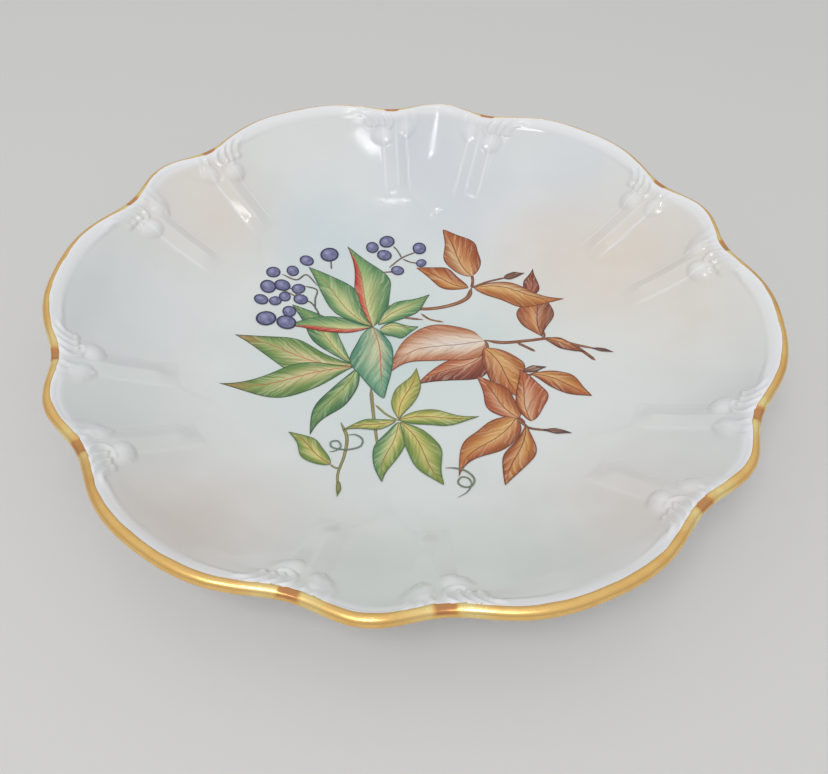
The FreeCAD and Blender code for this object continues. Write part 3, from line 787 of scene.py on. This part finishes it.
def make_leaf_enamel(name, rib_share, streak_share):
    """Brushed enamel: soft strokes that follow the side ribs, fine ribs and a drawn outline."""
    material, tree, shader = new_material(name)
    place = node(tree, "SeparateXYZ", {0: attribute(tree, "place", "Vector")}).outputs
    across = maths(tree, "ABSOLUTE", place[1])
    wander = noise(tree, attribute(tree, "place", "Vector"), 0.3)
    slant = maths(tree, "SUBTRACT", place[0], maths(tree, "MULTIPLY", across, RIB_SLANT))
    slant = maths(tree, "ADD", slant, maths(tree, "SIGN", place[1]))
    slant = maths(tree, "MULTIPLY_ADD", wander, 5.0, slant)
    strokes = {0: maths(tree, "MULTIPLY", slant, 0.5), 1: maths(tree, "MULTIPLY", across, 0.16)}
    strokes[2] = place[2]
    brushed = noise(tree, node(tree, "CombineXYZ", strokes).outputs[0], 1.0, 1.5)
    margin = attribute(tree, "margin", "Fac")
    along = attribute(tree, "along", "Fac")
    tone = attribute(tree, "tone", "Color")
    ribs = attribute(tree, "ribs", "Color")
    pale = blend(tree, 0.4, tone, colour(*LEAF_PALE))
    painted = blend(tree, ease(tree, brushed, 0.48, 0.74, 0, 0.65), tone, pale)
    deep = blend(tree, 0.55, tone, attribute(tree, "outline", "Color"))
    painted = blend(tree, ease(tree, brushed, 0.48, 0.3, 0, streak_share), painted, deep)
    side_rib = maths(tree, "PINGPONG", slant, RIB_SPACING)
    side_rib = ease(tree, side_rib, 0.0, 0.22, rib_share, 0)
    side_rib = maths(tree, "MULTIPLY", side_rib, ease(tree, margin, 0.8, 3.2))
    side_rib = maths(tree, "MULTIPLY", side_rib, ease(tree, along, 0.9, 0.6))
    painted = blend(tree, side_rib, painted, ribs)
    mid_rib = maths(tree, "SUBTRACT", 1.0, ease(tree, across, 0.08, 0.34))
    mid_rib = maths(tree, "MULTIPLY", mid_rib, ease(tree, along, 0.95, 0.7))
    painted = blend(tree, maths(tree, "MULTIPLY", mid_rib, 0.85), painted, ribs)
    weight = maths(tree, "MULTIPLY_ADD", wander, 0.6, 0.1)
    drawn = ease(tree, maths(tree, "SUBTRACT", margin, weight), -0.15, 0.25, 0.85, 0)
    painted = blend(tree, drawn, painted, attribute(tree, "outline", "Color"))
    tree.links.new(painted, shader.inputs["Base Color"])
    shader.inputs["Roughness"].default_value = ENAMEL_GLOSS
    return material


add_piece("painted_green_leaves", make_leaves("green leaves", GREEN_LEAVES, 2),
          make_leaf_enamel("green enamel", 0.6, 0.6), "green_leaves")
add_piece("painted_autumn_leaves", make_leaves("autumn leaves", AUTUMN_LEAVES, 1),
          make_leaf_enamel("rust enamel", 0.7, 0.6), "autumn_leaves")

# --- Painted berries ---------------------------------------------------------------------
# Small rounds of blue-violet enamel fired into the glaze.  The painter draws a dark ring,
# fills it with grey-violet and wipes out a pale bloom on its left shoulder.
BERRY_BODY = [(98, 96, 142), (128, 130, 160)]
BERRY_BLOOM = (176, 176, 212)
BERRY_RING = (44, 44, 78)
# Each berry's place on the well and its radius.
BERRIES = [
    (-42.1, 53, 4), (-51.3, 47.3, 3), (-56.2, 40, 2.8), (-64.1, 37, 3), (-59, 30.8, 3.3),
    (-64.7, 28.4, 3.5), (-52, 30.4, 2.9), (-50, 24.6, 3), (-56.8, 24.6, 2.6), (-60.2, 21.2, 2.6),
    (-66, 20.4, 2.9), (-53.4, 16.6, 3), (-61.9, 10.4, 4.1), (-53.4, 10.2, 4), (-23.8, 60.7, 3),
    (-17.7, 65, 3.4), (-17.9, 57, 3.2), (-2.7, 63, 3.2), (-1, 54.4, 2.3), (-11, 48.7, 2.8),
]


def make_berries():
    """Discs laid on the well; each vertex knows where it lies within its own berry."""
    mesh, along, across, number, top = paint_sheets("berries", len(BERRIES), 14, 14)
    x, y = 2 * along - 1, across
    disc = np.column_stack([x * np.sqrt(1 - y * y / 2), y * np.sqrt(1 - x * x / 2)])
    turn = np.arctan2(disc[:, 1], disc[:, 0])
    radius = np.array(BERRIES)[number, 2] * (1 + 0.05 * np.sin(2 * turn + number * 2.1))
    store(mesh, "place", np.column_stack([disc, number * 3.7]))
    spots = np.array(BERRIES)[number, :2] + disc * radius[:, None]
    lay_on_well(mesh, spots, LIFT + 4 * COAT + 0.1 * COAT * number + np.where(top, 0, -COAT))
    return mesh


def distance(tree, x, y):
    """Length of the line to a point, from how far it lies in both directions."""
    squares = maths(tree, "ADD", maths(tree, "MULTIPLY", x, x), maths(tree, "MULTIPLY", y, y))
    return maths(tree, "SQRT", squares)


def make_berry_enamel():
    """Grey-violet with a dark ring, a paler left shoulder and a soft bloom."""
    material, tree, shader = new_material("berry enamel")
    place = attribute(tree, "place", "Vector")
    centre = node(tree, "SeparateXYZ", {0: place}).outputs
    mottle = noise(tree, place, 1.6)
    dark, light = (colour(*shade) for shade in BERRY_BODY)
    body = blend(tree, ease(tree, mottle, 0.3, 0.7), dark, light)
    shoulder = distance(tree, maths(tree, "ADD", centre[0], 0.25),
                        maths(tree, "SUBTRACT", centre[1], 0.2))
    body = blend(tree, ease(tree, shoulder, 0.0, 0.6, 0.6, 0), body, colour(*BERRY_BLOOM))
    reach = distance(tree, centre[0], centre[1])
    ring = ease(tree, maths(tree, "MULTIPLY_ADD", mottle, 0.12, reach), 0.8, 0.95)
    painted = blend(tree, ring, body, colour(*BERRY_RING))
    tree.links.new(painted, shader.inputs["Base Color"])
    shader.inputs["Roughness"].default_value = ENAMEL_GLOSS
    return material


add_piece("painted_berries", make_berries(), make_berry_enamel(), "berries")

# --- Painted stems and tendrils ----------------------------------------------------------
# Single strokes of a round brush, in the same fired enamel: brown and green stems, the
# berries' thin stalks, and two curling tendrils, each darker along its edges.
DRY_BRUSH = (214, 180, 140)
STEM_EDGE = (70, 40, 30)
TENDRIL_EDGE = (52, 74, 62)
# A stroke's points, its width at both ends, and its tone.
STEMS = [
    ([(-22.7, -40), (-19.3, -47.3), (-18.8, -56.2), (-19.6, -66.2), (-18.2, -74)],
     1.5, 0.9, (140, 146, 92)),
    ([(-13.8, -20.7), (-12, -29.6), (-9.3, -41.8), (-6.9, -51.8)], 1.6, 1.0, (150, 142, 92)),
    ([(-11, -29), (-6, -33.6), (-1, -36.2)], 1.0, 0.9, (150, 150, 84)),
    ([(-23, -62), (-21.2, -63.2), (-19.6, -63.4)], 0.9, 1.0, (140, 146, 92)),
    ([(-13.8, 27), (2.9, 27), (14, 30.4), (20.7, 35.4), (22.3, 41.6)], 1.6, 2.2, (152, 92, 62)),
    ([(1.8, 24), (6, 21), (11.8, 20)], 1.0, 0.9, (152, 92, 62)),
    ([(22.3, 41.6), (22.6, 45.5), (22, 49.5)], 1.4, 1.2, (140, 78, 52)),
    ([(22.3, 41.6), (29, 45.6), (37.3, 48.5)], 1.2, 0.9, (130, 78, 58)),
    ([(29.6, 11), (37.3, 10.2), (47.3, 11.8), (57, 13), (66, 9.4), (76.8, 5.4)],
     1.8, 1.1, (146, 86, 56)),
    ([(66, 9), (70, 4.6), (74, -0.1)], 1.3, 1.3, (136, 80, 54)),
    ([(43, 10.4), (46.6, 8.2), (50.4, 5.8)], 1.2, 1.2, (136, 80, 54)),
    ([(29, 11), (30.6, 8.6), (31, 6)], 1.4, 1.2, (150, 92, 60)),
    ([(44, -30.4), (45.6, -32), (46.6, -33.6)], 1.4, 1.4, (150, 84, 52)),
    ([(47, -8), (49.5, -6.8), (52, -4.4)], 1.0, 0.9, (140, 82, 56)),
    ([(-20.6, -11), (-22.4, -9.2), (-20.6, -7.4)], 1.6, 1.2, (104, 128, 84)),
    ([(-14.5, 22.5), (-8, 21), (3, 20.4)], 1.2, 1.0, (152, 100, 70)),
    ([(53.2, 13), (54, 14.5), (53.8, 17)], 1.0, 0.8, (140, 78, 52)),
    ([(43, -30.6), (46, -33.6), (49, -36.2), (58.4, -37.6)], 1.3, 1.0, (132, 80, 56)),
    ([(-15, 50), (-10, 56.6), (-3.8, 61)], 0.7, 0.6, (112, 92, 80)),
    ([(-10, 56.6), (-12.4, 60.6), (-14.6, 63)], 0.6, 0.6, (112, 92, 80)),
    ([(-9.5, 56), (-6, 54.6), (-2.7, 54.3)], 0.6, 0.6, (112, 92, 80)),
    ([(-17, 47), (-13, 47.8), (-11, 48.5)], 0.6, 0.6, (112, 92, 80)),
    ([(-40, 16), (-43, 21), (-46, 24), (-50, 24.6)], 0.7, 0.6, (100, 96, 80)),
    ([(-43, 20), (-44, 26), (-44.3, 31.6), (-50.4, 32.7)], 0.7, 0.6, (100, 96, 80)),
    ([(-44.3, 34), (-50, 39.3), (-53.8, 35.4), (-60.4, 37)], 0.6, 0.6, (100, 96, 80)),
    ([(-40, 45), (-40.6, 48), (-41.4, 51)], 0.7, 0.6, (100, 96, 80)),
    ([(-50, 24.6), (-56, 27.4), (-62, 28.2)], 0.6, 0.6, (100, 96, 80)),
    ([(-52, 26.4), (-54, 29.4), (-58, 30.6)], 0.6, 0.6, (100, 96, 80)),
]
TENDRILS = [
    ([(-24.5, -55.8), (-22.4, -54.8), (-20.8, -52.4), (-22.2, -49.8), (-24.6, -50.6), (-24.2, -53),
      (-21, -53.8), (-17, -53.2), (-13.6, -51), (-13.4, -47.6), (-16.2, -45.6), (-19.2, -46.2)],
     0.6, 0.7, (112, 136, 120)),
    ([(18.4, -58.4), (22, -58.2), (26, -59.4), (29, -62.9), (28.4, -66.6), (25.6, -67.4),
      (23.4, -65.4), (24.4, -62.6), (27, -63), (28.2, -66), (26.8, -70), (23.8, -72.9)],
     0.8, 0.5, (116, 132, 112)),
]


def make_strokes(name, strokes, steps, layer):
    """Strokes of even length steps with a rounded taper at both ends."""
    mesh, along, across, number, top = paint_sheets(name, len(strokes), steps, 4)
    spots = np.zeros((len(along), 2))
    tone = np.zeros((len(along), 4))
    span = np.zeros(len(along))
    for count, (points, start, end, shade) in enumerate(strokes):
        own = number == count
        line = smooth_line(points, steps + 1)
        run = np.gradient(line, axis=0)
        run /= np.hypot(run[:, 0], run[:, 1])[:, None]
        step = np.rint(along[own] * steps).astype(int)
        taper = np.minimum(1, 0.25 + 6 * np.minimum(along[own], 1 - along[own]))
        half = (start + (end - start) * along[own]) / 2 * taper
        side = np.column_stack([-run[:, 1], run[:, 0]])[step]
        spots[own] = line[step] + side * (half * across[own])[:, None]
        tone[own] = colour(*shade)
        span[own] = along[own] * len(points)
    store(mesh, "place", np.column_stack([span, across, number * 5.1]))
    store(mesh, "tone", tone)
    lay_on_well(mesh, spots, LIFT + layer * COAT + 0.15 * COAT * number + np.where(top, 0, -COAT))
    return mesh


def make_stroke_enamel(name, edge):
    """One brushed line: darker along both edges, paler where the brush ran dry."""
    material, tree, shader = new_material(name)
    place = attribute(tree, "place", "Vector")
    side = maths(tree, "ABSOLUTE", node(tree, "SeparateXYZ", {0: place}).outputs[1])
    tone = attribute(tree, "tone", "Color")
    worn = ease(tree, noise(tree, place, 1.4), 0.45, 0.7, 0, 0.4)
    dry = blend(tree, worn, tone, colour(*DRY_BRUSH))
    shade = blend(tree, 0.6, tone, edge)
    painted = blend(tree, ease(tree, side, 0.4, 0.85), dry, shade)
    tree.links.new(painted, shader.inputs["Base Color"])
    shader.inputs["Roughness"].default_value = ENAMEL_GLOSS
    return material


add_piece("painted_stems", make_strokes("stems", STEMS, 40, 0),
          make_stroke_enamel("stem enamel", colour(*STEM_EDGE)), "stems")
add_piece("painted_tendrils", make_strokes("tendrils", TENDRILS, 90, 5),
          make_stroke_enamel("tendril enamel", colour(*TENDRIL_EDGE)), "tendrils")

# --- Gilt rim ----------------------------------------------------------------------------
# Liquid bright gold brushed round the lip and fired.  It runs over the outside of the lip,
# spreads a little way down the wall at each notch, and its inner edge wavers with the brush.
GILT_STEPS = 18
GILT_UNDER = 0.1
GILT_BEDDED = 0.03
GILT_FEATHER = 0.3
# How far the gold runs over the lip, inside a lobe and at a notch: at +X and -X, and how
# much less that is at +Y and more at -Y.
GILT_LOBE = (6.0, 1.0)
GILT_NOTCH = (6.6, 0.4)
GOLD = (250, 206, 128)
# Painted shade: the gold on each notch's pressed facet is darkened to this.
FACET_SHADE_GOLD = (212, 150, 98)
# Painted highlight: the gold just beside each notch is lightened to this.
HIGHLIGHT_GOLD = (255, 232, 160)
MARKED_GOLD = (236, 178, 98)
WORN_GOLD = (214, 152, 84)
FACET_SHADE_TOP = 0.35
HIGHLIGHT_END = 7.0
HIGHLIGHT_FADE = 5.0


def gilt_points(station, azimuth):
    """Closed skin: stations 0 to 1 run over the gold and 1 to 2 back under it."""
    notch = (WIDE_LIP - lip_radius_at(azimuth)) / NOTCH_INSET
    turn = np.radians(azimuth)
    waver = 0.12 * np.sin(31 * turn) + 0.08 * np.sin(53 * turn + 1) + 0.06 * np.sin(97 * turn + 2)
    lobe_edge = GILT_LOBE[0] - GILT_LOBE[1] * np.sin(turn)
    notch_edge = GILT_NOTCH[0] - GILT_NOTCH[1] * np.sin(turn)
    inner = lobe_edge + (notch_edge - lobe_edge) * notch ** 5 + waver
    under = GILT_UNDER + waver
    share = np.where(station < 1, station, 2 - station)
    arc = under + (inner - under) * np.clip(share, 0, 1)
    spot = np.where(arc < LIP_ARC, 1 + arc / LIP_ARC, 2 + (arc - LIP_ARC) / WALL_TOP)
    edge = np.clip(np.minimum(share, 1 - share) * GILT_STEPS / 1.5, 0, 1)
    thick = GILDING * (GILT_FEATHER + (1 - GILT_FEATHER) * edge)
    cover = np.where(station < 1, thick, -GILT_BEDDED)
    return bowl_points(spot, azimuth, cover)


def make_gilding():
    """Burnished gold: bright, softly satin, with faint brush marks round the lip."""
    material, tree, shader = new_material("gold")
    place = node(tree, "TexCoord").outputs["Object"]
    marks = noise(tree, place, 160, 4.0)
    patches = noise(tree, place, 35, 2.0)
    # The tone holds the painted highlight and the painted shade at each notch.
    tone = attribute(tree, "tone", "Color")
    brushed = blend(tree, ease(tree, marks, 0.35, 0.7, 0, 0.4), tone, colour(*MARKED_GOLD))
    worn = blend(tree, ease(tree, patches, 0.5, 0.8, 0, 0.4), brushed, colour(*WORN_GOLD))
    tree.links.new(worn, shader.inputs["Base Color"])
    shader.inputs["Metallic"].default_value = 0.75
    tree.links.new(ease(tree, marks, 0.3, 0.7, 0.22, 0.36), shader.inputs["Roughness"])
    bump_marks = {"Strength": 0.3, "Distance": 0.00004, "Height": noise(tree, place, 900, 2.0)}
    tree.links.new(node(tree, "Bump", bump_marks).outputs[0], shader.inputs["Normal"])
    return material


def make_gilt_mesh():
    """The gold's closed skin, with painted highlights and shade at the notches in its tone."""
    stations = np.linspace(0, 2, 2 * GILT_STEPS, endpoint=False)
    mesh = spin_section("gilt", stations, COLUMNS, closed=True)
    rows = vertex_positions(mesh)
    azimuth = crowd_columns(np.degrees(np.arctan2(rows[:, 1], rows[:, 0])))
    station = vertex_stations(mesh)
    # Painted shade on the facet at each notch, and a painted highlight beside it.
    from_notch = np.abs(from_wide_lobe(azimuth) - WIDE_HALF)
    facet = smooth_step((FACET_REACH - from_notch) / 0.3)
    facet *= smooth_step((station - FACET_SHADE_TOP) / 0.08)
    painted_highlight = smooth_step((from_notch - FACET_REACH) / 0.4)
    painted_highlight *= smooth_step((HIGHLIGHT_END - from_notch) / HIGHLIGHT_FADE)
    tone = colour(*GOLD) + (colour(*HIGHLIGHT_GOLD) - colour(*GOLD)) * painted_highlight[:, None]
    store(mesh, "tone", tone + (colour(*FACET_SHADE_GOLD) - tone) * facet[:, None])
    settle(mesh, gilt_points(station, azimuth))
    return mesh


add_piece("gilt_lip", make_gilt_mesh(), make_gilding(), "gilt_rim")

# --- Studio ------------------------------------------------------------------------------
# A plain pale floor under a soft sky that is brighter overhead, one large window light, and
# three slim lamps whose reflections run down the glaze.  Lengths are metres.
FOCAL_LENGTH = 39.09
CAMERA_PLACE = (0.02226, -0.2538, 0.2335 + LIP_HEIGHT * MM)
CAMERA_AIM = (-0.0542, 0.6639, -0.7459)
CAMERA_ROLL = math.radians(1.39)
FLOOR_HALF = 3
FLOOR_TONE = (0.7, 0.69, 0.67, 1)
SKY_TONE = (0.95, 0.97, 1, 1)
SKY_LOW = 0.33
SKY_HIGH = 0.7
# Each light's name, place, the point it faces, its two sides, its power and its tone.
LIGHTS = [
    ("window", (-0.2, -0.9, 1.5), (0, 0, 0), (0.75, 0.6), 9, (1, 0.99, 0.97)),
    ("strip", (-0.03, -0.04, 1.6), (-0.03, -0.04, 0), (0.012, 0.36), 0.5, (1, 1, 1)),
    ("near spot", (-0.03, -1.02, 1.6), (0, -0.3, 0), (0.03, 0.08), 0.4, (1, 1, 1)),
    ("far strip", (0, 0.5, 1.6), (0, 0.1, 0), (0.05, 0.01), 0.08, (1, 1, 1)),
]
scene = bpy.context.scene
scene.view_settings.view_transform = "Standard"

camera = bpy.data.objects.new("camera", bpy.data.cameras.new("camera"))
scene.collection.objects.link(camera)
scene.camera = camera
camera.data.lens = FOCAL_LENGTH
camera.data.sensor_width = 36
camera.data.clip_start = 0.01
camera.location = CAMERA_PLACE
forward = Vector(CAMERA_AIM).normalized()
level = forward.cross(Vector((0, 0, 1))).normalized()
upright = level.cross(forward)
side = level * math.cos(CAMERA_ROLL) + upright * math.sin(CAMERA_ROLL)
up = upright * math.cos(CAMERA_ROLL) - level * math.sin(CAMERA_ROLL)
camera.rotation_mode = "QUATERNION"
camera.rotation_quaternion = Matrix((side, up, -forward)).transposed().to_quaternion()

floor_mesh = bpy.data.meshes.new("floor")
sheet = bmesh.new()
bmesh.ops.create_grid(sheet, x_segments=1, y_segments=1, size=FLOOR_HALF)
sheet.to_mesh(floor_mesh)
sheet.free()
floor = bpy.data.objects.new("floor", floor_mesh)
scene.collection.objects.link(floor)
floor_material, floor_tree, floor_shader = new_material("floor")
floor_shader.inputs["Base Color"].default_value = FLOOR_TONE
floor_shader.inputs["Roughness"].default_value = 0.8
floor_mesh.materials.append(floor_material)

world = bpy.data.worlds.new("world")
scene.world = world
world.use_nodes = True
sky_tree = world.node_tree
sky = sky_tree.nodes["Background"]
sky.inputs["Color"].default_value = SKY_TONE
direction = node(sky_tree, "TexCoord").outputs["Generated"]
upward = node(sky_tree, "SeparateXYZ", {0: direction}).outputs[2]
sky_tree.links.new(ease(sky_tree, upward, -0.1, 0.9, SKY_LOW, SKY_HIGH), sky.inputs["Strength"])


def add_light(name, place, target, size, power, tone):
    """Adds a rectangular light that faces its target."""
    light = bpy.data.objects.new(name, bpy.data.lights.new(name, "AREA"))
    light.data.shape = "RECTANGLE"
    light.data.size, light.data.size_y = size
    light.data.energy = power
    light.data.color = tone
    light.location = place
    aim = Vector(target) - Vector(place)
    light.rotation_mode = "QUATERNION"
    light.rotation_quaternion = aim.to_track_quat("-Z", "Y")
    scene.collection.objects.link(light)


for light in LIGHTS:
    add_light(*light)
